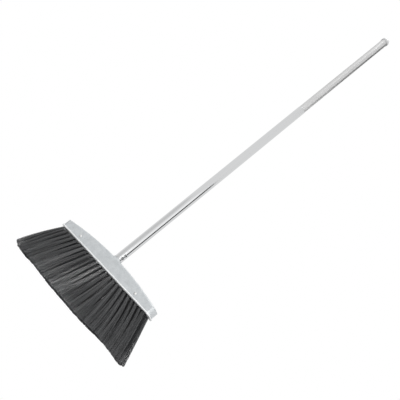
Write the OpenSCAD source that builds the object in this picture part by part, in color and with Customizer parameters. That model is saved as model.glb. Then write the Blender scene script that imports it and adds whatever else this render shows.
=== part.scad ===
// Lobby broom: fanned bristle head under an arched moulded cover, on a two-stage telescopic tube handle.
// The origin is the centre of the trim plane at the bristle tips. +Z runs up the handle, +X along the head
// and -Y out of the front face. Sizes are millimetres.

/* [Lip and cover] */
// Length of the lip, the widest rigid edge of the head
lip_len = 271; // [230:1:320]
// Depth of the lip from front to back
lip_w = 34.5; // [33:0.5:44]
// Thickness of the lip, which has a half-round edge
lip_t = 3; // [2.5:0.1:4]
// Plan radius of the lip's corners
lip_corner_r = 10; // [6:0.5:12]
// Distance that the lip stands out past the cover all round
lip_overhang = 1.8; // [1:0.1:2.4]
// Height of the cover's arch at its middle, above the lip's underside
cover_h = 30; // [27:0.5:42]
// Height of the cover at its ends, above the lip's underside
cover_end_h = 17; // [16:0.5:21]
// Wall of the moulded cover
cover_wall = 2; // [1.6:0.1:2.4]
// Plan radius of the cover's upright corners
cover_corner_r = 8; // [4.5:0.5:10]
// Radius along the cover's top edges
cover_edge_r = 3.4; // [2.5:0.1:5]
// Thickness of the stiffening ribs inside the cover
rib_t = 1.6; // [1:0.1:2.5]
// Spacing of the stiffening ribs
rib_pitch = 35; // [25:1:50]
// Gap between the cover and the board inside it
cover_fit = 0.2; // [0.1:0.05:0.4]

/* [Handle socket] */
// Diameter of the round neck that the handle stands on
neck_d = 21; // [20.5:0.5:26]
// Height of the neck above the arch
neck_rise = 2; // [1:0.5:6]
// Radius of the flare where the neck leaves the arch
neck_flare_r = 1.5; // [0.5:0.1:1.8]
// Diameter of the ferrule's shank in the socket
shank_d = 15.5; // [12:0.5:16.5]
// Radial clearance round the shank
shank_fit = 0.15; // [0.05:0.05:0.3]
// Gap left under the tip of the shank
shank_tip_gap = 1; // [0.5:0.5:3]

/* [Cover screws] */
// Distance of a screw from the end of the cover
screw_inset = 49; // [20:0.2:60]
// Board left between a screw and the tops of the tuft holes
screw_web = 0.7; // [0.4:0.1:1]
// Diameter of a screw's domed head
screw_head_d = 5.4; // [4.5:0.1:6.5]
// Height of a screw's domed head
screw_head_h = 1.5; // [1:0.1:2]
// Diameter of a screw's shank
screw_d = 2.9; // [2:0.1:3.5]
// Length of a screw under its head
screw_len = 10; // [7:0.5:12]
// Radial clearance of a screw in the cover
screw_fit = 0.2; // [0.1:0.05:0.4]
// Radial clearance of a screw in the board
pilot_fit = 0.05; // [0:0.01:0.1]

/* [Bristles] */
// Length of the bristles below the lip
bristle_len = 94; // [60:0.5:130]
// Spacing of the tufts along a row
tuft_pitch = 10.7; // [9:0.1:14]
// Least distance from the end of the lip to the end tuft
tuft_end_margin = 9; // [8.5:0.5:20]
// Board left outside the holes of the outer rows
row_edge = 0.9; // [0.5:0.1:1.4]
// Diameter of a tuft's hole in the board
tuft_d = 4.6; // [4.2:0.1:4.8]
// Clearance of a tuft in its hole
tuft_fit = 0.1; // [0.05:0.05:0.2]
// Length of tuft that is folded up into its hole
tuft_root_len = 4.4; // [4:0.2:6.4]
// Thickness of the slice of backing that carries a row
slice_t = 2; // [1.5:0.1:2.4]
// Width of the slice past the tufts, each side
slice_side = 0.6; // [0.4:0.1:0.7]
// Clearance of the slice in its groove
slice_fit = 0.05; // [0.02:0.01:0.15]
// Side of a strand where it leaves the backing
strand_root_w = 1.8; // [1.4:0.1:2]
// Side of a strand at its flagged tip
strand_tip_w = 3.4; // [1.6:0.1:3.6]
// Distance of a strand from the middle of its tuft at the root
strand_offset = 1.1; // [1.05:0.01:1.3]
// Distance of a strand from the middle of its tuft at the tip, along the head
strand_tip_x = 3; // [2.4:0.1:4]
// Distance of a strand from the middle of its tuft at the tip, across the head
strand_tip_y = 3; // [2.4:0.1:3.4]
// Distance that the end tufts fan out along the head
fan_x = 34; // [20:1:60]
// Distance that the outer rows fan out across the head
fan_y = 8.4; // [6:0.1:14]
// Share of the fan that a tuft takes early, so that it leaves the board at a wider angle
fan_bend = 0.2; // [0:0.05:0.3]
// Height that the trim rises at the ends of the fan
trim_rise = 6; // [0:0.5:12]
// Length of the rising trim at each end
trim_rise_len = 16; // [10:1:50]

/* [Tuft anchors] */
// Thickness of the flat wire that pins a tuft
anchor_t = 0.5; // [0.3:0.05:0.8]
// Height of the flat wire that pins a tuft
anchor_h = 1.2; // [1:0.1:2.2]
// Clearance of the wire's ends in the hole
anchor_fit = 0.05; // [0.02:0.01:0.1]

/* [Lower tube] */
// Outer diameter of the lower tube
tube_od = 19; // [18:0.1:22]
// Wall of the lower tube
tube_wall = 0.4; // [0.3:0.05:0.6]
// Length of the lower tube
lower_len = 524; // [420:0.5:700]
// Thickness of the ferrule's collar under the tube
collar_t = 1.5; // [1:0.1:4]
// Length of the ferrule's plug in the tube
plug_len = 30; // [24:1:50]
// Height of the first punched dimple above the tube's end
dimple_low = 6; // [4:0.1:7]
// Height of the second punched dimple above the tube's end
dimple_high = 14; // [13:0.1:20]
// Depth of the punched dimples
dimple_depth = 0.7; // [0.3:0.05:0.9]
// Radius of the punch that made the dimples
dimple_r = 3; // [2.5:0.1:3.5]
// Turn of the dimples round the tube, from the end of the head
dimple_turn = -31; // [-180:1:180]

/* [Upper tube and cap] */
// Radial gap between the two tubes
slide_gap = 0.35; // [0.3:0.05:0.6]
// Wall of the upper tube
upper_wall = 0.8; // [0.6:0.1:1.2]
// Length of upper tube that shows above the lower one, as drawn
upper_shown = 295; // [60:1:330]
// Length of upper tube inside the lower one, as drawn
upper_inside = 170; // [90:1:180]
// Distance that the cap stands out past the upper tube
cap_overhang = 1.2; // [0.5:0.1:3]
// Height of the straight band under the cap's dome
cap_band = 3; // [1:0.5:8]
// Radius along the cap's lower rim
cap_rim_r = 0.8; // [0.3:0.1:1]
// Length of the cap's plug in the upper tube
cap_plug_len = 16; // [10:1:25]
// Wall of the cap's hollow plug
cap_plug_wall = 2; // [1.2:0.1:3]

/* [Twist lock] */
// Offset of the cam journal from the tube's axis
cam_offset = 0.25; // [0.2:0.01:0.28]
// Diameter of the cam journal
journal_d = 12; // [10:0.1:13]
// Radial clearance of the ring on the journal
journal_fit = 0.06; // [0.04:0.01:0.1]
// Radial clearance of the ring in the lower tube
ring_fit = 0.05; // [0.03:0.01:0.1]
// Length of the lock ring
ring_len = 12; // [8:0.5:18]
// Gap at each end of the lock ring
ring_end_gap = 0.3; // [0.2:0.05:0.6]
// Width of the split in the lock ring
ring_split = 1.6; // [1:0.1:3]
// Thickness of the flanges at both ends of the journal
cam_flange_t = 2.4; // [1.6:0.1:4]
// Length of the core's spigot in the upper tube
spigot_len = 22; // [12:1:35]

/* [Hidden] */
$fn = 64;

// Distance by which a cut runs past a face
past = 1;
// Distance by which a fused piece reaches into its neighbour
bite = 0.4;

// Head: the cover stands on the lip, and the board fills its lower part
cover_len = lip_len - 2 * lip_overhang;
cover_w = lip_w - 2 * lip_overhang;
arch_sag = cover_h - cover_end_h;
arch_r = (pow(cover_len / 2, 2) + pow(arch_sag, 2)) / (2 * arch_sag);
board_h = cover_end_h - cover_wall - cover_fit;
board_len = cover_len - 2 * (cover_wall + cover_fit);
board_w = cover_w - 2 * (cover_wall + cover_fit);
neck_h = cover_h + neck_rise;
screw_x = cover_len / 2 - screw_inset;
screw_h = slice_t + tuft_root_len + anchor_h + screw_web + screw_d / 2;
ribs_each_side = floor((cover_len / 2 - rib_pitch / 3) / rib_pitch);

// Tufts: four rows of as many tufts as the lip holds, with every other row set half a pitch over
ROWS = 4;
row_shift = tuft_pitch / 4;
tufts = floor((lip_len - 2 * (tuft_end_margin + row_shift)) / tuft_pitch) + 1;
tuft_end_x = (tufts - 1) * tuft_pitch / 2 + row_shift;
row_end_y = board_w / 2 - row_edge - tuft_d / 2;
row_pitch = 2 * row_end_y / (ROWS - 1);
slice_len = (tufts - 1) * tuft_pitch + tuft_d + 2 * slice_side;
slice_w = tuft_d + 2 * slice_side;
hole_top = slice_t + tuft_root_len + anchor_h;
trim_end_x = tuft_end_x + fan_x + strand_tip_x;

// Handle: heights of the lower tube's ends and of the upper tube's ends
tube_r = tube_od / 2;
bore_r = tube_r - tube_wall;
upper_r = bore_r - slide_gap;
upper_bore_r = upper_r - upper_wall;
cap_r = upper_r + cap_overhang;
tube_z = bristle_len + neck_h + collar_t;
mouth_z = tube_z + lower_len;
upper_z = mouth_z - upper_inside;
upper_top_z = mouth_z + upper_shown;
dimple_x = tube_r - dimple_depth + dimple_r;
journal_len = ring_len + 2 * ring_end_gap;

function row_x(row) = row % 2 == 0 ? row_shift : -row_shift;
function tuft_x(i) = (i - (tufts - 1) / 2) * tuft_pitch;
function row_y(row) = (row - 1) * row_pitch - row_end_y;

// A strand's place at t, from 0 at the backing to 1 at the trim
function bend(t) = (1 + fan_bend) * t - fan_bend * t * t;
function strand_x(x, dx, t) =
    x * (1 + bend(t) * fan_x / tuft_end_x) + dx * (strand_offset + t * (strand_tip_x - strand_offset));
function strand_y(y, dy, t) =
    y * (1 + t * fan_y / row_end_y) + dy * (strand_offset + t * (strand_tip_y - strand_offset));
function trim_z(x) = trim_rise * pow(max(0, abs(x) - trim_end_x + trim_rise_len) / trim_rise_len, 2);
function strand_z(tip_z, t) = t == 0 ? bristle_len + bite : bristle_len + t * (tip_z - bristle_len);

// Rectangle with round corners
module round_rect(l, w, r) {
    square([l - 2 * r, w], center = true);
    square([l, w - 2 * r], center = true);
    for (x = [-1, 1], y = [-1, 1])
        translate([x * (l / 2 - r), y * (w / 2 - r)])
            circle(r);
}

// Bar with half-round ends
module round_bar(l, t) {
    square([l - t, t], center = true);
    for (x = [-1, 1])
        translate([x * (l - t) / 2, 0])
            circle(t / 2);
}

// Solid of the cover's outline, drawn in by the same distance on every side but the lower one
module cover_form(inset, z) {
    r = arch_r - inset;
    w = cover_w - 2 * inset;
    edge_r = max(cover_edge_r - inset, 0.5);
    depth = cover_h;
    sweep = 2 * asin((cover_len / 2 + depth) / (r - depth));
    intersection() {
        translate([0, 0, cover_h - arch_r])
            rotate([90, 0, 0])
                rotate_extrude(angle = sweep, start = 90 - sweep / 2, $fn = 720)
                    translate([r - depth, 0]) {
                        translate([0, -w / 2])
                            square([depth - edge_r, w]);
                        translate([0, edge_r - w / 2])
                            square([depth, w - 2 * edge_r]);
                        for (side = [-1, 1])
                            translate([depth - edge_r, side * (w / 2 - edge_r)])
                                circle(edge_r);
                    }
        translate([0, 0, z])
            linear_extrude(cover_h + past - z)
                round_rect(cover_len - 2 * inset, w, max(cover_corner_r - inset, 0.5));
    }
}

// Copies at the four cover screws, with +Z out of the face
module at_screws() {
    for (x = [-1, 1], side = [0, 1])
        rotate([0, 0, 180 * side])
            translate([x * screw_x, -cover_w / 2, bristle_len + screw_h])
                rotate([90, 0, 0])
                    children();
}

// Tower that takes the handle, flared where it leaves the arch
module neck() {
    rotate_extrude()
        difference() {
            union() {
                translate([0, board_h])
                    square([neck_d / 2, neck_h - board_h]);
                translate([0, cover_h - bite])
                    square([neck_d / 2 + neck_flare_r, neck_rise + bite]);
            }
            translate([neck_d / 2 + neck_flare_r, cover_h + neck_flare_r])
                circle(neck_flare_r);
            translate([neck_d / 2, cover_h + neck_flare_r])
                square([neck_flare_r + past, neck_rise]);
        }
}

// Arched cover, open below, with cross ribs and the tower that takes the handle
module cover_shell() {
    color([0.77, 0.79, 0.8])
        difference() {
            translate([0, 0, bristle_len]) {
                difference() {
                    cover_form(0, lip_t);
                    cover_form(cover_wall, lip_t - past);
                }
                for (side = [-1, 1], i = [1:ribs_each_side])
                    intersection() {
                        cover_form(cover_wall / 2, lip_t);
                        translate([side * i * rib_pitch - rib_t / 2, -cover_w / 2, board_h + cover_fit])
                            cube([rib_t, cover_w, cover_h]);
                    }
                neck();
            }
            translate([0, 0, bristle_len + board_h - past])
                cylinder(d = shank_d + 2 * shank_fit, h = neck_h - board_h + 2 * past);
            at_screws()
                translate([0, 0, -cover_wall - past])
                    cylinder(d = screw_d + 2 * screw_fit, h = cover_wall + 2 * past);
        }
}

// Board that holds the tufts: its lip shows under the cover, and the rest fills the cover
module tuft_board() {
    color([0.88, 0.89, 0.9])
        difference() {
            translate([0, 0, bristle_len]) {
                intersection() {
                    linear_extrude(lip_t)
                        round_rect(lip_len, lip_w, lip_corner_r);
                    translate([0, lip_w / 2, lip_t / 2])
                        rotate([90, 0, 0])
                            linear_extrude(lip_w)
                                round_bar(lip_len, lip_t);
                    translate([-lip_len / 2, 0, lip_t / 2])
                        rotate([90, 0, 90])
                            linear_extrude(lip_len)
                                round_bar(lip_w, lip_t);
                }
                translate([0, 0, lip_t - bite])
                    linear_extrude(board_h - lip_t + bite)
                        round_rect(board_len, board_w, cover_corner_r - cover_wall - cover_fit);
            }
            for (row = [1:ROWS])
                translate([row_x(row), row_y(row), bristle_len]) {
                    translate([0, 0, (slice_t - past) / 2])
                        cube([slice_len + 2 * slice_fit, slice_w + 2 * slice_fit, slice_t + past], center = true);
                    for (i = [0:tufts - 1])
                        translate([tuft_x(i), 0, slice_t - bite])
                            cylinder(d = tuft_d, h = hole_top - slice_t + bite);
                }
            at_screws()
                translate([0, 0, -screw_len])
                    cylinder(r = screw_d / 2 + pilot_fit, h = screw_len);
        }
}

// One strand: a four-sided bundle that leaves the board at a wide angle and straightens to the trim
module strand(x, y, dx, dy) {
    levels = [0, 0.5, 1];
    tip_z = trim_z(strand_x(x, dx, 1));
    corners = [[-1, -1], [1, -1], [1, 1], [-1, 1]];
    points = [
        for (t = levels, c = corners)
            let (half = (strand_root_w + t * (strand_tip_w - strand_root_w)) / 2)
                [strand_x(x, dx, t) + c[0] * half, strand_y(y, dy, t) + c[1] * half, strand_z(tip_z, t)]
    ];
    last = 4 * (len(levels) - 1);
    sides = [
        for (k = [0:len(levels) - 2], i = [0:3])
            let (a = 4 * k + i, b = 4 * k + (i + 1) % 4)
                each [[a, b, b + 4], [a, b + 4, a + 4]]
    ];
    ends = [[0, 2, 1], [0, 3, 2], [last, last + 1, last + 2], [last, last + 2, last + 3]];
    polyhedron(points = points, faces = concat(sides, ends));
}

// One row of tufts on its slice of backing, with the folded roots that go up into the board
module tuft_row(row) {
    y = row_y(row);
    color([0.25, 0.25, 0.26]) {
        translate([row_x(row), y, bristle_len + slice_t / 2])
            cube([slice_len, slice_w, slice_t], center = true);
        for (i = [0:tufts - 1])
            let (x = row_x(row) + tuft_x(i)) {
                translate([x, y, bristle_len + slice_t - bite])
                    cylinder(d = tuft_d - 2 * tuft_fit, h = tuft_root_len + bite);
                for (dx = [-1, 1], dy = [-1, 1])
                    strand(x, y, dx, dy);
            }
    }
}

// Flat wires across the tops of the tuft roots, which pin the folded tufts in their holes
module tuft_anchors() {
    color([0.6, 0.6, 0.62])
        for (row = [1:ROWS], i = [0:tufts - 1])
            translate([row_x(row) + tuft_x(i), row_y(row), bristle_len + hole_top - anchor_h / 2])
                cube([tuft_d - 2 * anchor_fit - anchor_t, anchor_t, anchor_h], center = true);
}

// Domed screws that hold the cover to the edges of the board
module cover_screws() {
    dome_r = (pow(screw_head_d / 2, 2) + pow(screw_head_h, 2)) / (2 * screw_head_h);
    color([0.92, 0.92, 0.93])
        at_screws() {
            intersection() {
                cylinder(d = screw_head_d, h = screw_head_h);
                translate([0, 0, screw_head_h - dome_r])
                    sphere(dome_r);
            }
            translate([0, 0, -screw_len])
                cylinder(d = screw_d, h = screw_len + screw_head_h / 2);
        }
}

// Balls at the punched dimples, two in line on each side of the tube
module dimple_balls(r) {
    for (h = [dimple_low, dimple_high], side = [0, 1])
        rotate([0, 0, dimple_turn + 180 * side])
            translate([dimple_x, 0, h])
                sphere(r);
}

// Ferrule: a plug staked into the tube, a collar on the neck and a shank in the socket
module handle_ferrule() {
    shank_len = neck_h - board_h - shank_tip_gap;
    color([0.62, 0.63, 0.64])
        translate([0, 0, tube_z]) {
            difference() {
                cylinder(r = bore_r, h = plug_len);
                dimple_balls(dimple_r + tube_wall);
            }
            translate([0, 0, -collar_t])
                cylinder(r = tube_r, h = collar_t);
            translate([0, 0, -collar_t - shank_len])
                cylinder(d = shank_d, h = shank_len + collar_t);
        }
}

// Lower tube, punched in over the ferrule's plug
module lower_tube() {
    color([0.82, 0.83, 0.84])
        translate([0, 0, tube_z])
            difference() {
                union() {
                    difference() {
                        cylinder(r = tube_r, h = lower_len);
                        translate([0, 0, -past])
                            cylinder(r = bore_r, h = lower_len + 2 * past);
                    }
                    intersection() {
                        dimple_balls(dimple_r + tube_wall);
                        cylinder(r = tube_r, h = plug_len);
                    }
                }
                dimple_balls(dimple_r);
            }
}

// Split ring of the twist lock, bored off its centre
module cam_ring() {
    color([0.9, 0.9, 0.86])
        translate([0, 0, upper_z - cam_flange_t - ring_end_gap - ring_len])
            difference() {
                cylinder(r = bore_r - ring_fit, h = ring_len);
                translate([cam_offset, 0, -past])
                    cylinder(r = journal_d / 2 + journal_fit, h = ring_len + 2 * past);
                translate([0, -ring_split / 2, -past])
                    cube([tube_od, ring_split, ring_len + 2 * past]);
            }
}

// Core of the twist lock: spigot in the upper tube, flange, off-centre journal and end flange
module cam_core() {
    color([0.2, 0.2, 0.21])
        translate([0, 0, upper_z]) {
            translate([0, 0, -cam_flange_t])
                cylinder(r = upper_r, h = cam_flange_t);
            cylinder(r = upper_bore_r, h = spigot_len);
            translate([cam_offset, 0, -cam_flange_t - journal_len - bite])
                cylinder(d = journal_d, h = journal_len + 2 * bite);
            translate([0, 0, -2 * cam_flange_t - journal_len])
                cylinder(r = upper_r, h = cam_flange_t);
        }
}

// Upper tube, which slides in the lower one
module upper_tube() {
    color([0.8, 0.8, 0.8])
        translate([0, 0, upper_z])
            difference() {
                cylinder(r = upper_r, h = upper_inside + upper_shown);
                translate([0, 0, -past])
                    cylinder(r = upper_bore_r, h = upper_inside + upper_shown + 2 * past);
            }
}

// Domed cap on the end of the upper tube, with a hollow plug inside it
module end_cap() {
    color([0.84, 0.84, 0.85])
        translate([0, 0, upper_top_z]) {
            rotate_extrude() {
                translate([0, cap_rim_r])
                    square([cap_r, cap_band - cap_rim_r]);
                square([cap_r - cap_rim_r, cap_band]);
                translate([cap_r - cap_rim_r, cap_rim_r])
                    circle(cap_rim_r);
                intersection() {
                    translate([0, cap_band])
                        circle(cap_r);
                    translate([0, cap_band])
                        square(cap_r);
                }
            }
            translate([0, 0, -cap_plug_len])
                difference() {
                    cylinder(r = upper_bore_r, h = cap_plug_len + bite);
                    translate([0, 0, -past])
                        cylinder(r = upper_bore_r - cap_plug_wall, h = cap_plug_len + past);
                }
        }
}

cover_shell();
tuft_board();
tuft_row(1);  // tuft_row_1
tuft_row(2);  // tuft_row_2
tuft_row(3);  // tuft_row_3
tuft_row(4);  // tuft_row_4
tuft_anchors();
cover_screws();
handle_ferrule();
lower_tube();
cam_ring();
cam_core();
upper_tube();
end_cap();
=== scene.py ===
import math

import bpy
import numpy as np
from mathutils import Matrix, Vector


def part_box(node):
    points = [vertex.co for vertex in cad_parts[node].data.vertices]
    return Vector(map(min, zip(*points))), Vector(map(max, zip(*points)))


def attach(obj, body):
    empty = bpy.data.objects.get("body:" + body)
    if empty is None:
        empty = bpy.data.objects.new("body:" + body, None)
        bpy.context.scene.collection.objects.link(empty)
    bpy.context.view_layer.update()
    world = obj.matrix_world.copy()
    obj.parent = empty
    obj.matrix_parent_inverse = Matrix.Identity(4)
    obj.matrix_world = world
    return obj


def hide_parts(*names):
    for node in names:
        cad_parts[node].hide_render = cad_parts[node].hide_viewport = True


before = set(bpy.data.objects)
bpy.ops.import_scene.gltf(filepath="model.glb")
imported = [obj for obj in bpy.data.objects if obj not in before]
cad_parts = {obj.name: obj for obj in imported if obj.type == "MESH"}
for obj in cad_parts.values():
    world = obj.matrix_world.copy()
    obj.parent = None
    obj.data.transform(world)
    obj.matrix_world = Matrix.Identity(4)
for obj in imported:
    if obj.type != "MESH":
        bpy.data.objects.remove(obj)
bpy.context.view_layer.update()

# Tuft board: the bar that holds the tufts. Its half-round lip shows as a pale line under the cover.
# Moulded in light polypropylene, drilled for the tufts and screwed into the cover from both faces.
MM = 0.001
LIP_LIGHT = (0.89, 0.9, 0.905, 1)
LIP_SHADE = (0.76, 0.775, 0.78, 1)
GLOSS_RANGE = (0.1, 0.45)
SKIN_BUMP = 0.25


def effect_group(name, inputs, outputs):
    """Empty shader node group with number inputs, at their usual values, and number outputs."""
    tree = bpy.data.node_groups.new(name, "ShaderNodeTree")
    for label, value in inputs:
        socket = tree.interface.new_socket(label, in_out="INPUT", socket_type="NodeSocketFloat")
        socket.default_value = value
    for label in outputs:
        tree.interface.new_socket(label, in_out="OUTPUT", socket_type="NodeSocketFloat")
    return tree, tree.nodes.new("NodeGroupInput"), tree.nodes.new("NodeGroupOutput")


def noise_node(tree, place, scale, detail, rough):
    """Noise texture that takes its place and its scale from other nodes."""
    noise = tree.nodes.new("ShaderNodeTexNoise")
    noise.inputs["Detail"].default_value = detail
    noise.inputs["Roughness"].default_value = rough
    tree.links.new(place, noise.inputs["Vector"])
    tree.links.new(scale, noise.inputs["Scale"])
    return noise


def moulded_skin():
    """Skin of a moulding: broad flow mottle, fine grain and a grain height."""
    inputs = [("Mottle per metre", 40), ("Grain per metre", 1400), ("Grain share", 0.4)]
    tree, given, result = effect_group("moulded_skin", inputs, ["Tone", "Gloss", "Height"])
    place = tree.nodes.new("ShaderNodeTexCoord").outputs["Object"]
    mottle = noise_node(tree, place, given.outputs["Mottle per metre"], detail=3, rough=0.55)
    grain = noise_node(tree, place, given.outputs["Grain per metre"], detail=2, rough=0.5)
    mix = tree.nodes.new("ShaderNodeMix")
    mix.data_type = "FLOAT"
    gloss = tree.nodes.new("ShaderNodeMath")
    gloss.operation = "MULTIPLY"
    link = tree.links.new
    link(given.outputs["Grain share"], mix.inputs["Factor"])
    link(mottle.outputs["Fac"], mix.inputs["A"])
    link(grain.outputs["Fac"], mix.inputs["B"])
    link(mottle.outputs["Fac"], gloss.inputs[0])
    link(grain.outputs["Fac"], gloss.inputs[1])
    link(mix.outputs["Result"], result.inputs["Tone"])
    link(gloss.outputs["Value"], result.inputs["Gloss"])
    link(grain.outputs["Fac"], result.inputs["Height"])
    return tree


def new_material(name):
    """Node material with its tree and its main shader."""
    mat = bpy.data.materials.new(name)
    mat.use_nodes = True
    return mat, mat.node_tree, mat.node_tree.nodes["Principled BSDF"]


def place_effect(tree, group, **values):
    """A node group placed in a material with its own values."""
    node = tree.nodes.new("ShaderNodeGroup")
    node.node_tree = group
    for label, value in values.items():
        node.inputs[label.replace("_", " ")].default_value = value
    return node


def tone_to_colour(tree, source, shader, dark, light, low=0.3, high=0.7):
    """Colour that runs from dark to light as the source value rises."""
    ramp = tree.nodes.new("ShaderNodeValToRGB")
    ramp.color_ramp.elements[0].position = low
    ramp.color_ramp.elements[0].color = dark
    ramp.color_ramp.elements[1].position = high
    ramp.color_ramp.elements[1].color = light
    tree.links.new(source, ramp.inputs["Fac"])
    tree.links.new(ramp.outputs["Color"], shader.inputs["Base Color"])


def value_to_socket(tree, source, socket, low, high, start=0.0, end=1.0):
    """A shader socket that runs from low to high as the source goes from start to end."""
    span = tree.nodes.new("ShaderNodeMapRange")
    span.inputs["From Min"].default_value = start
    span.inputs["From Max"].default_value = end
    span.inputs["To Min"].default_value = low
    span.inputs["To Max"].default_value = high
    tree.links.new(source, span.inputs["Value"])
    tree.links.new(span.outputs["Result"], socket)


def height_to_normal(tree, source, shader, strength, depth_mm):
    """Bump from a height value."""
    bump = tree.nodes.new("ShaderNodeBump")
    bump.inputs["Strength"].default_value = strength
    bump.inputs["Distance"].default_value = depth_mm * MM
    tree.links.new(source, bump.inputs["Height"])
    tree.links.new(bump.outputs["Normal"], shader.inputs["Normal"])


def moulded_plastic(name, dark, light, rough, mottle, grain, share, depth_mm):
    """Material of a moulded piece, with the skin effect at the given sizes."""
    mat, tree, shader = new_material(name)
    skin = place_effect(tree, skin_effect, Mottle_per_metre=mottle, Grain_per_metre=grain, Grain_share=share)
    tone_to_colour(tree, skin.outputs["Tone"], shader, dark, light)
    value_to_socket(tree, skin.outputs["Gloss"], shader.inputs["Roughness"], *rough, *GLOSS_RANGE)
    height_to_normal(tree, skin.outputs["Height"], shader, SKIN_BUMP, depth_mm)
    return mat


def dress(node, mat):
    """Give a CAD node its finish."""
    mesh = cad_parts[node].data
    mesh.materials.clear()
    mesh.materials.append(mat)


skin_effect = moulded_skin()
board_plastic = moulded_plastic(
    "board_plastic", LIP_SHADE, LIP_LIGHT,
    rough=(0.3, 0.42), mottle=55, grain=1600, share=0.35, depth_mm=0.03,
)
dress("tuft_board", board_plastic)

# Tufts: bundles of straight polypropylene filament, folded in two and driven into the board's holes.
# Four rows fan out along and across the head. The tips are trimmed flat and flagged, so they merge.


def node_mm(node):
    """Lowest and highest corner of a CAD node, in millimetres."""
    low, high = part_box(node)
    return low / MM, high / MM


BRISTLE_LEN = node_mm("tuft_board")[0].z
ROWS = 4
ROW_TUFTS = 24
TUFT_PITCH = 10.7
ROW_SHIFT = TUFT_PITCH / 4
TUFT_END_X = (ROW_TUFTS - 1) * TUFT_PITCH / 2 + ROW_SHIFT
ROW_END_Y = 10.05
ROW_PITCH = 2 * ROW_END_Y / (ROWS - 1)
# The fan of the tufts along and across the head, and the place where it parts.
FAN_X = 34.0
FAN_Y = 8.4
FAN_BEND = 0.25
END_BEND = (0.5, 0.08)
FAN_CURL = 1.55
FAN_EASE = 0.12
FAN_EASE_POWER = 4
FAN_RISE = (0.95, 2.1)
PARTING_X = 29.0
# The trim: its rise at the ends, and its worn hollows as middle, half width and depth.
TRIM_RISE = 6.0
TRIM_RISE_LEN = 16.0
TRIM_OVERHANG = 3.0
TRIM_END_X = TUFT_END_X + FAN_X + TRIM_OVERHANG
WORN = ((108.0, 52.0, 4.8), (-118.0, 34.0, 2.5))
# The slice of backing that a row stands on.
SLICE_W = 5.8
SLICE_SIZE = ((ROW_TUFTS - 1) * TUFT_PITCH + SLICE_W, SLICE_W, 2.0)
# A tuft: how far its filaments start inside the board, how wide it is, and how it leans and opens.
ROOT_TOP = 6.0
ROOT_R = 2.15
TIP_R = (8.6, 6.2)
TIP_ROOM = 1.25
OUTWARD = 0.6
END_OUTWARD = (0.78, 0.42)
END_INWARD = 1.35
SET = -0.8
LEAN = (1.2, 0.4)
OWN_SHARE = 0.66
CLUMP_SHARE = 0.34
REACH_NOISE = 0.25
STRAYS = 0.012
STRAY_REACH = 1.2
SPLAY_AT = 0.02
OUTER_ROW = (0.1, 1.4)
INNER_ROW = (0.58, 0.7)
END_SPLAY = 0.22
LOOSENESS = (0.8, 1.2)
# Unevenness of the cut ends and of the filaments' bow.
TUFT_CUT = 0.5
CLUMP_CUT = 0.5
FILAMENT_CUT = 0.4
CLUMP_BOW = 0.45
FILAMENT_BOW = 0.12
BOW_POWER = 0.5
# A filament, and the levels from root to tip where its path is drawn.
FILAMENT_R = 0.27
FILAMENT_SIDES = 3
TIP_TAPER = 0.7
FILAMENTS = 200
LEVELS = (0, 0.02, 0.08, 0.2, 0.4, 0.62, 0.82, 0.98, 1)
CLUMPS = 7
ROW_SEED = 40
# Tone from root to tip. Painted light lifts the tips by a power, and painted shade darkens the inner rows.
TONE = 0.32
TONE_FALL = 0.055
TONE_MERGE = 0.4
TONE_SPREAD = 0.06
# Per row kind: the tips' lift of painted light, its power, and the row's painted shade.
OUTER_TIP_PAINTED_LIGHT = (0.3, 40, 0.0)
INNER_PAINTED_LIGHT_AND_SHADE = (0.62, 6, 0.21)
CHARCOAL_DARK = (0.027, 0.028, 0.03, 1)
CHARCOAL_LIGHT = (0.21, 0.212, 0.217, 1)


def unit_disc(rng, count):
    """Points spread evenly over a disc of radius 1."""
    angle = rng.uniform(0, 2 * math.pi, count)
    radius = np.sqrt(rng.uniform(0, 1, count))
    return np.stack([radius * np.cos(angle), radius * np.sin(angle)], 1)


def fan_share(x):
    """Share of the full fan that a tuft takes: it rises quickly from the parting and levels off."""
    side = math.copysign(1, x - PARTING_X)
    along = (x - PARTING_X) / (side * TUFT_END_X - PARTING_X)
    return side * along * (1 + (1 - along) * FAN_RISE[int(side > 0)])


def trim_height(x):
    """Height of the trim above the floor along the head: it rises at the ends and is worn in places."""
    over = np.maximum(0, np.abs(x) - TRIM_END_X + TRIM_RISE_LEN) / TRIM_RISE_LEN
    height = TRIM_RISE * over**2
    for middle, width, depth in WORN:
        height = height + depth * np.exp(-(((x - middle) / width) ** 2))
    return height


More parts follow.
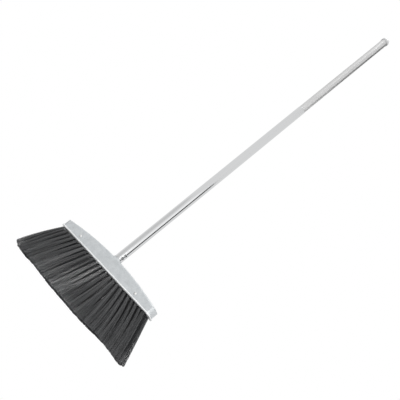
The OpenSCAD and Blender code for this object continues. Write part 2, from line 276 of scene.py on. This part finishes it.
def tuft_filaments(rng, x, y, end, outer):
    """Paths of one tuft's filaments, count by points by 3, and a tone for each point."""
    spot = unit_disc(rng, FILAMENTS)
    clump = unit_disc(rng, CLUMPS)
    near = np.argmin(((spot[:, None, :] - clump[None]) ** 2).sum(2), 1)
    lean = rng.normal(0, 1, 2) * LEAN
    if end:
        lean[0] = 0
    lean[0] += SET
    reach = (OWN_SHARE * spot + CLUMP_SHARE * clump[near]) * TIP_R + rng.normal(0, REACH_NOISE, spot.shape)
    stray = rng.uniform(0, 1, FILAMENTS) < STRAYS
    reach[stray] *= STRAY_REACH
    room = 1 + FAN_X * (fan_share(x + 1) - fan_share(x - 1)) / 2
    reach[:, 0] *= max(1, room / TIP_ROOM)
    if end:
        reach[:, 0] *= np.where(reach[:, 0] * x > 0, END_OUTWARD[int(x > 0)], END_INWARD)
    if outer:
        reach[:, 1] *= np.where(reach[:, 1] * y > 0, OUTWARD, 1)
    splay, loose = OUTER_ROW if outer else INNER_ROW
    bend = END_BEND[int(x > 0)] if end else FAN_BEND
    splay += END_SPLAY if end else 0
    loose *= rng.uniform(*LOOSENESS)
    clump_cut = np.abs(rng.normal(0, CLUMP_CUT, CLUMPS))
    tip_x = x + FAN_X * fan_share(x) + lean[0] + reach[:, 0]
    cut = np.abs(rng.normal(0, TUFT_CUT)) + clump_cut[near] + np.abs(rng.normal(0, FILAMENT_CUT, FILAMENTS))
    tip_z = trim_height(tip_x) + cut
    bow = rng.normal(0, FILAMENT_BOW, (FILAMENTS, 2)) + rng.normal(0, CLUMP_BOW, (CLUMPS, 2))[near]
    tone = rng.normal(0, TONE_SPREAD, FILAMENTS) + rng.normal(0, TONE_SPREAD)
    tone += rng.normal(0, TONE_SPREAD, CLUMPS)[near]
    painted_tip_light, tip_power, inner_painted_shade = OUTER_TIP_PAINTED_LIGHT if outer else INNER_PAINTED_LIGHT_AND_SHADE
    paths = np.zeros((FILAMENTS, len(LEVELS) + 1, 3))
    tones = np.zeros((FILAMENTS, len(LEVELS) + 1))
    paths[:, 0, :2] = np.array((x, y)) + spot * ROOT_R
    paths[:, 0, 2] = BRISTLE_LEN + ROOT_TOP
    for k, t in enumerate(LEVELS, 1):
        fan = (1 + bend) * t - bend * t * t
        spread = splay * min(1, t / SPLAY_AT) + (1 - splay) * t**loose
        sway = math.sin(math.pi * t) * t**BOW_POWER
        curl = (1 + FAN_EASE) * t**FAN_CURL - FAN_EASE * t**FAN_EASE_POWER
        paths[:, k, 0] = x + fan * FAN_X * fan_share(x) + lean[0] * t
        paths[:, k, 1] = y * (1 + curl * FAN_Y / ROW_END_Y) + lean[1] * t
        paths[:, k, :2] += spot * ROOT_R * (1 - spread) + reach * spread + bow * sway
        paths[:, k, 2] = BRISTLE_LEN + t * (tip_z - BRISTLE_LEN)
        # Painted light on the tips, and painted shade on the inner rows.
        painted_light_lift = painted_tip_light * t**tip_power - inner_painted_shade
        tones[:, k] = TONE - TONE_FALL * t + tone * (1 - TONE_MERGE * t) + painted_light_lift
    return paths, np.clip(tones, 0, 1)


def backing_slice(x, y):
    """Bar that closes the groove under a row: its 8 corners and 6 faces."""
    length, width, thick = SLICE_SIZE
    corners = []
    for z in (0, thick):
        for dx, dy in ((-1, -1), (1, -1), (1, 1), (-1, 1)):
            corners.append((x + dx * length / 2, y + dy * width / 2, BRISTLE_LEN + z))
    faces = [(3, 2, 1, 0), (4, 5, 6, 7), (0, 1, 5, 4), (1, 2, 6, 5), (2, 3, 7, 6), (3, 0, 4, 7)]
    return corners, faces


def filament_row(row):
    """One row of tufts as a single piece, on its slice of backing."""
    rng = np.random.default_rng(ROW_SEED + row)
    middle = ROW_SHIFT if row % 2 == 0 else -ROW_SHIFT
    y = (row - 1) * ROW_PITCH - ROW_END_Y
    paths = []
    tones = []
    for i in range(ROW_TUFTS):
        x = middle + (i - (ROW_TUFTS - 1) / 2) * TUFT_PITCH
        tuft, tone = tuft_filaments(rng, x, y, i in (0, ROW_TUFTS - 1), row in (1, ROWS))
        paths.append(tuft)
        tones.append(tone)
    paths = np.concatenate(paths)
    tones = np.concatenate(tones)
    total, levels, _ = paths.shape
    turn = rng.uniform(0, 2 * math.pi, total)
    taper = np.linspace(1, TIP_TAPER, levels)
    sides = FILAMENT_SIDES
    rings = np.zeros((total, levels, sides, 3))
    for corner in range(sides):
        angle = turn + corner * 2 * math.pi / sides
        rings[:, :, corner, :] = paths
        rings[:, :, corner, 0] += np.cos(angle)[:, None] * FILAMENT_R * taper
        rings[:, :, corner, 1] += np.sin(angle)[:, None] * FILAMENT_R * taper
    verts = rings.reshape(-1, 3)
    base = np.arange(total) * levels * sides
    faces = []
    for level in range(levels - 1):
        for corner in range(sides):
            a = base + level * sides + corner
            b = base + level * sides + (corner + 1) % sides
            faces.append(np.stack([a, a + sides, b + sides, b], 1))
    quads = np.concatenate(faces).tolist()
    tip = base + (levels - 1) * sides
    ends = np.stack([tip, tip + 2, tip + 1], 1).tolist()
    corners, slice_faces = backing_slice(middle, y)
    first = len(verts)
    slice_faces = [tuple(first + k for k in face) for face in slice_faces]
    points = np.concatenate([verts, np.array(corners)]) * MM
    mesh = bpy.data.meshes.new(f"filaments_row_{row}")
    mesh.from_pydata(points.tolist(), [], quads + ends + slice_faces)
    shade = np.concatenate([np.repeat(tones.ravel(), sides), np.zeros(len(corners))])
    mesh.attributes.new("tone", "FLOAT", "POINT").data.foreach_set("value", shade.astype(np.float32))
    smooth = np.ones(len(mesh.polygons), bool)
    smooth[-len(slice_faces):] = False
    mesh.polygons.foreach_set("use_smooth", smooth)
    slots = np.zeros(len(mesh.polygons), np.int32)
    slots[-len(slice_faces):] = 1
    mesh.polygons.foreach_set("material_index", slots)
    mesh.update()
    piece = bpy.data.objects.new(f"filaments_row_{row}", mesh)
    bpy.context.scene.collection.objects.link(piece)
    return piece


bristle, tree, shader = new_material("bristle")
point_tone = tree.nodes.new("ShaderNodeAttribute")
point_tone.attribute_name = "tone"
tone = point_tone.outputs["Fac"]
tone_to_colour(tree, tone, shader, CHARCOAL_DARK, CHARCOAL_LIGHT, low=0.0, high=1.0)
value_to_socket(tree, tone, shader.inputs["Roughness"], low=0.18, high=0.15, start=0.1, end=0.5)
value_to_socket(tree, tone, shader.inputs["Specular IOR Level"], low=0.25, high=0.85, start=0.08, end=0.28)
shader.inputs["IOR"].default_value = 1.49
for row in range(1, ROWS + 1):
    piece = filament_row(row)
    piece.data.materials.append(bristle)
    piece.data.materials.append(board_plastic)
    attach(piece, "head")
    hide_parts(f"tuft_row_{row}")

# Tuft anchors: short lengths of flat steel wire driven across each folded tuft at the top of its hole.
# Drawn and cut from galvanised wire. They hide inside the board.
STEEL_DARK = (0.36, 0.36, 0.37, 1)
STEEL_LIGHT = (0.52, 0.52, 0.53, 1)
anchor_steel, tree, shader = new_material("anchor_steel")
skin = place_effect(tree, skin_effect, Mottle_per_metre=400, Grain_per_metre=3000, Grain_share=0.5)
tone_to_colour(tree, skin.outputs["Tone"], shader, STEEL_DARK, STEEL_LIGHT)
value_to_socket(tree, skin.outputs["Gloss"], shader.inputs["Roughness"], 0.3, 0.45, *GLOSS_RANGE)
shader.inputs["Metallic"].default_value = 1
dress("tuft_anchors", anchor_steel)

# Cover: an arched shell over the board, with a short round neck in the middle that takes the handle.
# Moulded in silver-grey plastic with a fine flake, open below and ribbed inside.
SILVER_DARK = (0.462, 0.488, 0.5, 1)
SILVER_LIGHT = (0.616, 0.64, 0.654, 1)
cover_plastic = moulded_plastic(
    "cover_plastic", SILVER_DARK, SILVER_LIGHT,
    rough=(0.27, 0.42), mottle=110, grain=500, share=0.5, depth_mm=0.04,
)
shader = cover_plastic.node_tree.nodes["Principled BSDF"]
shader.inputs["Specular IOR Level"].default_value = 0.8
dress("cover_shell", cover_plastic)

# Cover screws: four small domed self-tapping screws, two on each face of the cover.
# Nickel-plated steel with a pressed cross recess.
screw_low, screw_high = node_mm("cover_screws")
HEAD_R = (screw_high.z - screw_low.z) / 2
HEAD_H = 1.5
SCREW_X = screw_high.x - HEAD_R
SCREW_Z = screw_low.z + HEAD_R
SCREW_FACE_Y = screw_high.y - HEAD_H
# Rim and dome of the head, thread and point of the shank, and the cross recess.
RIM_CUT = 0.12
RIM_LOW = 0.06
RIM_TOP = 0.16
DOME_RINGS = 26
SHANK_R = 1.45
SHANK_LEN = 10.0
SHANK_NECK = 0.2
THREAD_ROOT_R = SHANK_R * 0.8
THREAD_TURNS = 11
THREAD_RISE = 0.36
THREAD_END = 0.6
POINT_LEN = 2.0
POINT_R = 0.15
SCREW_STEPS = 72
CROSS_LEN = 1.55
CROSS_HALF = 0.36
CROSS_DEEP = 0.6
CROSS_SIDE = 0.14
CROSS_END = 0.5
CROSS_TURN = (0.5, 0.7, 1.9)
NICKEL_DARK = (0.6, 0.6, 0.59, 1)
NICKEL_LIGHT = (0.72, 0.72, 0.71, 1)


def join_rings(points, faces, ring, steps):
    """Add a ring of points and the faces that join it to the ring before it."""
    first = len(points)
    points.extend(ring)
    if first >= steps:
        last = first - steps
        for k in range(steps):
            n = (k + 1) % steps
            faces.append((last + k, last + n, first + n, first + k))


def recess_depth(x, y):
    """Depth of the cross recess at a place on the head."""
    deep = 0.0
    for along, across in ((abs(x), abs(y)), (abs(y), abs(x))):
        side = min(max((CROSS_HALF - across) / CROSS_SIDE + 0.5, 0), 1)
        end = min(max((CROSS_LEN - along) / CROSS_END, 0), 1)
        deep = max(deep, CROSS_DEEP * side * end)
    return deep


def screw_mesh():
    """One screw, with its head outwards along +Z and the face of the cover at 0."""
    steps = SCREW_STEPS
    dome_r = (HEAD_R**2 + HEAD_H**2) / (2 * HEAD_H)
    points = []
    faces = []
    radii = [(POINT_R, -SHANK_LEN), (THREAD_ROOT_R, POINT_LEN - SHANK_LEN)]
    for k in range(THREAD_TURNS):
        z = POINT_LEN - SHANK_LEN + (k + 0.5) * (SHANK_LEN - POINT_LEN - THREAD_END) / THREAD_TURNS
        radii += [(SHANK_R, z), (THREAD_ROOT_R, z + THREAD_RISE)]
    radii += [(SHANK_R, -SHANK_NECK), (SHANK_R, 0)]
    radii += [(HEAD_R - RIM_CUT, 0), (HEAD_R, RIM_LOW), (HEAD_R, RIM_TOP)]
    for r, z in radii:
        ring = []
        for k in range(steps):
            angle = 2 * math.pi * k / steps
            ring.append((r * math.cos(angle), r * math.sin(angle), z))
        join_rings(points, faces, ring, steps)
    for j in range(1, DOME_RINGS):
        r = HEAD_R * (1 - j / DOME_RINGS)
        rise = math.sqrt(dome_r**2 - r * r) - (dome_r - HEAD_H)
        ring = []
        for k in range(steps):
            angle = 2 * math.pi * k / steps
            x = r * math.cos(angle)
            y = r * math.sin(angle)
            ring.append((x, y, max(rise, RIM_TOP) - recess_depth(x, y)))
        join_rings(points, faces, ring, steps)
    faces.append(tuple(len(points) - steps + k for k in range(steps)))
    faces.append(tuple(reversed(range(steps))))
    return np.array(points), faces


def smooth_piece(name, points, faces, mat, limit=35):
    """Object from points in millimetres, shaded smooth up to a limit angle."""
    mesh = bpy.data.meshes.new(name)
    mesh.from_pydata((np.asarray(points) * MM).tolist(), [], faces)
    mesh.polygons.foreach_set("use_smooth", np.ones(len(mesh.polygons), bool))
    mesh.set_sharp_from_angle(angle=math.radians(limit))
    mesh.materials.append(mat)
    mesh.update()
    piece = bpy.data.objects.new(name, mesh)
    bpy.context.scene.collection.objects.link(piece)
    return piece


screw_steel, tree, shader = new_material("screw_steel")
skin = place_effect(tree, skin_effect, Mottle_per_metre=300, Grain_per_metre=2600, Grain_share=0.4)
tone_to_colour(tree, skin.outputs["Tone"], shader, NICKEL_DARK, NICKEL_LIGHT)
value_to_socket(tree, skin.outputs["Gloss"], shader.inputs["Roughness"], 0.42, 0.55, *GLOSS_RANGE)
shader.inputs["Metallic"].default_value = 1
one_screw, screw_faces = screw_mesh()
points = []
faces = []
for side in (-1, 1):
    for x in (-1, 1):
        turned = CROSS_TURN[0] + CROSS_TURN[1] * x + CROSS_TURN[2] * side
        c = math.cos(turned)
        s = math.sin(turned)
        first = len(points)
        for px, py, pz in one_screw:
            across = px * c - py * s
            up = px * s + py * c
            points.append((x * SCREW_X - side * across, side * (SCREW_FACE_Y + pz), SCREW_Z + up))
        faces += [tuple(first + k for k in face) for face in screw_faces]
screws = smooth_piece("domed_screws", points, faces, screw_steel)
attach(screws, "head")
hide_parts("cover_screws")

# Ferrule: the plug that joins the handle to the head. Only its thin collar shows, between neck and tube.
# Moulded in grey nylon, held in the tube by its punched dimples.
FERRULE_DARK = (0.48, 0.5, 0.51, 1)
FERRULE_LIGHT = (0.58, 0.6, 0.61, 1)
ferrule_plastic = moulded_plastic(
    "ferrule_plastic", FERRULE_DARK, FERRULE_LIGHT,
    rough=(0.35, 0.5), mottle=80, grain=2000, share=0.4, depth_mm=0.03,
)
dress("handle_ferrule", ferrule_plastic)

# Lower tube: the bright stage of the handle, punched in at four dimples over the ferrule's plug.
# Thin-walled drawn steel with bright chrome plate, faint draw lines along it and a rolled-over mouth.
tube_low, tube_high = node_mm("lower_tube")
TUBE_R = tube_high.x
TUBE_WALL = 0.4
TUBE_BORE_R = TUBE_R - TUBE_WALL
TUBE_EDGE = 0.15
TUBE_Z = tube_low.z
TUBE_STEPS = 240
MOUTH_Z = tube_high.z
MOUTH_R = 0.2
MOUTH_LEN = 1.0
# The wall is drawn thicker below STAKED_TOP, where the dimples are. The ferrule's plug hides it.
STAKED_WALL = 0.5
STAKED_TOP = (160, 165)
BARREL_Z = 150
BARREL_RINGS = 15
BORE_RING = 200
DIMPLE_Z = (TUBE_Z + 6, TUBE_Z + 14)
DIMPLE_TURN = math.radians(-31)
DIMPLE_DEPTH = 0.63
DIMPLE_HALF = (4.4, 3.0)
DIMPLE_END = 1.0
DIMPLE_FIRST_RING = 2
DIMPLE_RING_STEP = 0.28
DIMPLE_RINGS = 60
CHROME_DARK = (0.61, 0.615, 0.62, 1)
CHROME_LIGHT = (0.66, 0.665, 0.67, 1)
LINES_RANGE = (0.3, 0.7)


def drawn_lines():
    """Lines along a drawn or brushed tube: a tone, a gloss and a height, all stretched along Z."""
    inputs = [("Lines per metre", 900), ("Stretch", 0.01), ("Smudge per metre", 18)]
    tree, given, result = effect_group("drawn_lines", inputs, ["Tone", "Gloss", "Height"])
    place = tree.nodes.new("ShaderNodeTexCoord").outputs["Object"]
    squeeze = tree.nodes.new("ShaderNodeCombineXYZ")
    squeeze.inputs["X"].default_value = 1
    squeeze.inputs["Y"].default_value = 1
    along = tree.nodes.new("ShaderNodeVectorMath")
    along.operation = "MULTIPLY"
    lines = noise_node(tree, along.outputs["Vector"], given.outputs["Lines per metre"], detail=4, rough=0.6)
    smudge = noise_node(tree, place, given.outputs["Smudge per metre"], detail=3, rough=0.6)
    mix = tree.nodes.new("ShaderNodeMix")
    mix.data_type = "FLOAT"
    mix.inputs["Factor"].default_value = 0.5
    link = tree.links.new
    link(given.outputs["Stretch"], squeeze.inputs["Z"])
    link(place, along.inputs[0])
    link(squeeze.outputs["Vector"], along.inputs[1])
    link(lines.outputs["Fac"], mix.inputs["A"])
    link(smudge.outputs["Fac"], mix.inputs["B"])
    link(lines.outputs["Fac"], result.inputs["Tone"])
    link(mix.outputs["Result"], result.inputs["Gloss"])
    link(lines.outputs["Fac"], result.inputs["Height"])
    return tree


def turned_piece(name, profile, mat, steps=128, dip=None):
    """Solid of revolution about the handle's axis from a closed profile of (radius, height) points.
    Where it is given, dip(angle, height) draws the outside of the tube in.
    """
    points = []
    faces = []
    for r, z in profile + profile[:1]:
        ring = []
        for k in range(steps):
            angle = 2 * math.pi * k / steps
            reach = r - dip(angle, z) if dip and r == TUBE_R else r
            ring.append((reach * math.cos(angle), reach * math.sin(angle), z))
        join_rings(points, faces, ring, steps)
    last = len(profile) * steps
    faces = [tuple(k - last if k >= last else k for k in face) for face in faces]
    return smooth_piece(name, points[:last], faces, mat)


def arc_points(r, z, radius, start, end, count):
    """Points on an arc round (r, z), with angles in degrees from outwards."""
    found = []
    for k in range(count + 1):
        angle = math.radians(start + (end - start) * k / count)
        found.append((r + radius * math.cos(angle), z + radius * math.sin(angle)))
    return found


def dimple_dip(angle, z):
    """Depth of the punched dimples at a place on the tube: flat along it, and fading out round it."""
    deep = 0.0
    for side in (0, math.pi):
        for height in DIMPLE_Z:
            around = TUBE_R * math.remainder(angle - DIMPLE_TURN - side, 2 * math.pi)
            away = min(abs(around) / DIMPLE_HALF[0], 1)
            end = min(max((DIMPLE_HALF[1] - abs(z - height)) / DIMPLE_END, 0), 1)
            deep += DIMPLE_DEPTH * (1 + math.cos(math.pi * away)) / 2 * end * end * (3 - 2 * end)
    return deep


drawn_effect = drawn_lines()
chrome_tube, tree, shader = new_material("chrome_tube")
lines = place_effect(tree, drawn_effect, Lines_per_metre=1500, Stretch=0.004, Smudge_per_metre=14)
tone_to_colour(tree, lines.outputs["Tone"], shader, CHROME_DARK, CHROME_LIGHT)
value_to_socket(tree, lines.outputs["Gloss"], shader.inputs["Roughness"], 0.05, 0.11, *LINES_RANGE)
height_to_normal(tree, lines.outputs["Height"], shader, strength=0.08, depth_mm=0.01)
shader.inputs["Metallic"].default_value = 1
profile = [(TUBE_R - TUBE_EDGE, TUBE_Z), (TUBE_R, TUBE_Z + TUBE_EDGE)]
for k in range(DIMPLE_RINGS):
    profile.append((TUBE_R, TUBE_Z + DIMPLE_FIRST_RING + DIMPLE_RING_STEP * k))
for k in range(1, BARREL_RINGS + 1):
    profile.append((TUBE_R, BARREL_Z + (MOUTH_Z - MOUTH_LEN - BARREL_Z) * k / BARREL_RINGS))
profile += arc_points(TUBE_R - MOUTH_R, MOUTH_Z - MOUTH_R, MOUTH_R, start=0, end=180, count=8)
profile += [(TUBE_BORE_R, MOUTH_Z - MOUTH_LEN), (TUBE_BORE_R, MOUTH_Z - BORE_RING)]
profile += [(TUBE_BORE_R, STAKED_TOP[1]), (TUBE_BORE_R - STAKED_WALL, STAKED_TOP[0])]
profile += [(TUBE_BORE_R - STAKED_WALL, TUBE_Z)]
lower = turned_piece("bright_tube", profile, chrome_tube, TUBE_STEPS, dimple_dip)
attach(lower, "head")
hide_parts("lower_tube")

# Lock ring and core: the twist lock in the foot of the upper tube. The ring drags in the lower tube and
# wedges when the off-centre journal turns in it. Nylon ring, glass-filled core. Hidden in the handle.
NYLON_DARK = (0.62, 0.61, 0.56, 1)
NYLON_LIGHT = (0.74, 0.73, 0.68, 1)
CORE_DARK = (0.03, 0.03, 0.032, 1)
CORE_LIGHT = (0.055, 0.055, 0.058, 1)
lock_nylon = moulded_plastic(
    "lock_nylon", NYLON_DARK, NYLON_LIGHT,
    rough=(0.35, 0.5), mottle=120, grain=2200, share=0.4, depth_mm=0.03,
)
core_plastic = moulded_plastic(
    "core_plastic", CORE_DARK, CORE_LIGHT,
    rough=(0.4, 0.55), mottle=120, grain=2400, share=0.5, depth_mm=0.04,
)
dress("cam_ring", lock_nylon)
dress("cam_core", core_plastic)

# Upper tube: the stage that slides into the lower one, a little thinner, cut square at both ends.
# Drawn aluminium with a satin brushed and anodised finish.
upper_low, upper_high = node_mm("upper_tube")
UPPER_R = upper_high.x
UPPER_WALL = 0.8
UPPER_BORE_R = UPPER_R - UPPER_WALL
UPPER_Z = upper_low.z
UPPER_TOP_Z = upper_high.z
UPPER_RINGS = 14
SATIN_DARK = (0.55, 0.55, 0.55, 1)
SATIN_LIGHT = (0.7, 0.7, 0.7, 1)
satin_tube, tree, shader = new_material("satin_tube")
lines = place_effect(tree, drawn_effect, Lines_per_metre=2400, Stretch=0.012, Smudge_per_metre=25)
tone_to_colour(tree, lines.outputs["Tone"], shader, SATIN_DARK, SATIN_LIGHT)
value_to_socket(tree, lines.outputs["Gloss"], shader.inputs["Roughness"], 0.27, 0.4, *LINES_RANGE)
height_to_normal(tree, lines.outputs["Height"], shader, strength=0.15, depth_mm=0.02)
shader.inputs["Metallic"].default_value = 1
shader.inputs["Specular Tint"].default_value = (0.7, 0.7, 0.7, 1)
profile = [(UPPER_R - TUBE_EDGE, UPPER_Z), (UPPER_R, UPPER_Z + TUBE_EDGE)]
for k in range(1, UPPER_RINGS):
    profile.append((UPPER_R, UPPER_Z + (UPPER_TOP_Z - UPPER_Z - 2 * TUBE_EDGE) * k / UPPER_RINGS))
profile += [(UPPER_R, UPPER_TOP_Z - TUBE_EDGE), (UPPER_R - TUBE_EDGE, UPPER_TOP_Z)]
profile += [(UPPER_BORE_R, UPPER_TOP_Z), (UPPER_BORE_R, UPPER_Z)]
upper = turned_piece("satin_tube", profile, satin_tube)
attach(upper, "upper_handle")
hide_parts("upper_tube")

# End cap: a domed cap that closes the handle, with a rounded rim that stands out past the tube.
# Moulded in pale grey plastic with a hollow plug pressed into the tube.
CAP_R = node_mm("end_cap")[1].x
CAP_BAND = 3.0
CAP_RIM_R = 0.8
CAP_SEAT = 0.2
CAP_ROOF = 0.4
CAP_POLE_R = 0.05
CAP_POLE_ANGLE = 89.6
CAP_STEPS = 96
PLUG_R = UPPER_BORE_R
PLUG_WALL = 2.0
PLUG_LEN = 16.0
CAP_DARK = (0.5, 0.505, 0.51, 1)
CAP_LIGHT = (0.62, 0.625, 0.63, 1)
cap_plastic = moulded_plastic(
    "cap_plastic", CAP_DARK, CAP_LIGHT,
    rough=(0.3, 0.42), mottle=90, grain=2200, share=0.35, depth_mm=0.03,
)
profile = [(PLUG_R - PLUG_WALL, UPPER_TOP_Z - PLUG_LEN), (PLUG_R, UPPER_TOP_Z - PLUG_LEN)]
profile += [(PLUG_R, UPPER_TOP_Z), (CAP_R - CAP_RIM_R - CAP_SEAT, UPPER_TOP_Z)]
profile += arc_points(CAP_R - CAP_RIM_R, UPPER_TOP_Z + CAP_RIM_R, CAP_RIM_R, start=-90, end=0, count=8)
profile += arc_points(0, UPPER_TOP_Z + CAP_BAND, CAP_R, start=0, end=CAP_POLE_ANGLE, count=28)
profile += [(CAP_POLE_R, UPPER_TOP_Z + CAP_ROOF), (PLUG_R - PLUG_WALL, UPPER_TOP_Z + CAP_ROOF)]
cap = turned_piece("domed_cap", profile, cap_plastic, CAP_STEPS)
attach(cap, "upper_handle")
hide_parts("end_cap")

# Stage: a pale floor under the trim, seen only from above, in a white room.
# Two low strips, the key to the right and the fill in front, and two panels light the broom.
# Cards that only reflections see put the dark and grey bands on the tubes.
FLOOR_R = 3.2
FLOOR_SIDES = 96
FLOOR_DARK = (0.79, 0.79, 0.79, 1)
FLOOR_LIGHT = (0.83, 0.83, 0.83, 1)
CARD_DARK = (0, 0, 0, 1)
CARD_LIGHT = (0.01, 0.01, 0.01, 1)
WHITE = (1, 1, 1, 1)
ROOM_LIGHT = 0.36
VIEW_PLACE = (0.5066, -0.9335, -0.0357)
VIEW_RIGHT = Vector((0.679, 0.0729, 0.7305))
VIEW_DOWN = Vector((0.5864, 0.5448, -0.5995))
VIEW_AHEAD = Vector((-0.4417, 0.8354, 0.3272))
VIEW_LENS = 49.632
floor_points = [(0, 0, 0)]
for k in range(FLOOR_SIDES):
    angle = 2 * math.pi * k / FLOOR_SIDES
    floor_points.append((FLOOR_R * math.cos(angle), FLOOR_R * math.sin(angle), 0))
floor_faces = [(0, k + 1, (k + 1) % FLOOR_SIDES + 1) for k in range(FLOOR_SIDES)]
floor_mesh = bpy.data.meshes.new("studio_floor")
floor_mesh.from_pydata(floor_points, [], floor_faces)
floor = bpy.data.objects.new("studio_floor", floor_mesh)
bpy.context.scene.collection.objects.link(floor)
floor_paint, tree, shader = new_material("floor_paint")
skin = place_effect(tree, skin_effect, Mottle_per_metre=2, Grain_per_metre=60, Grain_share=0.2)
tone_to_colour(tree, skin.outputs["Tone"], shader, FLOOR_DARK, FLOOR_LIGHT)
shader.inputs["Roughness"].default_value = 0.8
shader.inputs["Specular IOR Level"].default_value = 0.1
side = tree.nodes.new("ShaderNodeNewGeometry")
clear = tree.nodes.new("ShaderNodeBsdfTransparent")
pick = tree.nodes.new("ShaderNodeMixShader")
tree.links.new(side.outputs["Backfacing"], pick.inputs[0])
tree.links.new(shader.outputs["BSDF"], pick.inputs[1])
tree.links.new(clear.outputs["BSDF"], pick.inputs[2])
tree.links.new(pick.outputs["Shader"], tree.nodes["Material Output"].inputs["Surface"])
floor_mesh.materials.append(floor_paint)

room = bpy.data.worlds.new("white_room")
room.use_nodes = True
tree = room.node_tree
tree.nodes.clear()
sky = tree.nodes.new("ShaderNodeBackground")
seen = tree.nodes.new("ShaderNodeLightPath")
either = tree.nodes.new("ShaderNodeMath")
either.operation = "MAXIMUM"
any_of = tree.nodes.new("ShaderNodeMath")
any_of.operation = "MAXIMUM"
level = tree.nodes.new("ShaderNodeMapRange")
level.inputs["To Min"].default_value = ROOM_LIGHT
level.inputs["To Max"].default_value = 1.0
ground = tree.nodes.new("ShaderNodeOutputWorld")
sky.inputs["Color"].default_value = WHITE
tree.links.new(seen.outputs["Is Camera Ray"], either.inputs[0])
tree.links.new(seen.outputs["Is Glossy Ray"], either.inputs[1])
tree.links.new(either.outputs["Value"], any_of.inputs[0])
tree.links.new(seen.outputs["Is Transmission Ray"], any_of.inputs[1])
tree.links.new(any_of.outputs["Value"], level.inputs["Value"])
tree.links.new(level.outputs["Result"], sky.inputs["Strength"])
tree.links.new(sky.outputs["Background"], ground.inputs["Surface"])
bpy.context.scene.world = room


def aimed(place, target):
    """Matrix that puts an object at a place with its -Z towards a target."""
    away = (Vector(place) - Vector(target)).normalized()
    return Matrix.Translation(place) @ away.to_track_quat("Z", "Y").to_matrix().to_4x4()


def soft_box(name, place, target, width, height, radiance):
    """Rectangular lamp of the given brightness."""
    lamp = bpy.data.lights.new(name, "AREA")
    lamp.shape = "RECTANGLE"
    lamp.size = width
    lamp.size_y = height
    lamp.energy = math.pi * width * height * radiance
    box = bpy.data.objects.new(name, lamp)
    box.matrix_world = aimed(place, target)
    box.visible_camera = False
    bpy.context.scene.collection.objects.link(box)


def room_card(name, place, target, width, height, glow):
    """Flat card of an even brightness that only reflections see."""
    mat, tree, shader = new_material(name)
    skin = place_effect(tree, skin_effect, Mottle_per_metre=5, Grain_per_metre=90, Grain_share=0.3)
    tone_to_colour(tree, skin.outputs["Tone"], shader, CARD_DARK, CARD_LIGHT)
    shader.inputs["Roughness"].default_value = 1
    shader.inputs["Specular IOR Level"].default_value = 0
    shader.inputs["Emission Color"].default_value = WHITE
    shader.inputs["Emission Strength"].default_value = glow
    mesh = bpy.data.meshes.new(name)
    corners = [(-width / 2, -height / 2, 0), (width / 2, -height / 2, 0)]
    corners += [(width / 2, height / 2, 0), (-width / 2, height / 2, 0)]
    mesh.from_pydata(corners, [], [(0, 1, 2, 3)])
    mesh.materials.append(mat)
    card = bpy.data.objects.new(name, mesh)
    card.matrix_world = aimed(place, target)
    card.visible_camera = False
    card.visible_diffuse = False
    card.visible_shadow = False
    bpy.context.scene.collection.objects.link(card)


soft_box("front_panel", (1.09, -1.04, 0.52), (0, 0, 0.35), 1.2, 0.7, 0.27)
soft_box("key_strip", (2.17, -1.01, 0.22), (0, 0, 0.1), 2.0, 0.16, 11.5)
soft_box("fill_strip", (1.13, -2.12, 0.3), (0, 0, 0.1), 1.6, 0.16, 24.5)
soft_box("top_panel", (-0.2, -0.2, 2.8), (0, 0, 0.3), 1.4, 1.4, 6.2)
room_card("side_card", (1.59, -0.25, 0.5), (0, 0, 0.5), 0.72, 1.0, 0.02)
room_card("high_card", (1.3, 0.85, 2.25), (0, 0, 2.25), 1.9, 0.9, 0.05)
room_card("grey_card", (1.35, -1.6, 2.9), (0, 0, 0.75), 2.4, 1.4, 0.77)
room_card("low_card", (-1.1, -1.5, 0.4), (0, 0, 0.4), 2.6, 1.1, 0.82)

view = bpy.data.cameras.new("view")
view.sensor_width = 36
view.lens = VIEW_LENS
eye = bpy.data.objects.new("view", view)
turn = Matrix((VIEW_RIGHT, -VIEW_DOWN, -VIEW_AHEAD)).transposed()
eye.matrix_world = Matrix.Translation(VIEW_PLACE) @ turn.to_4x4()
bpy.context.scene.collection.objects.link(eye)
bpy.context.scene.camera = eye
bpy.context.scene.view_settings.view_transform = "Standard"
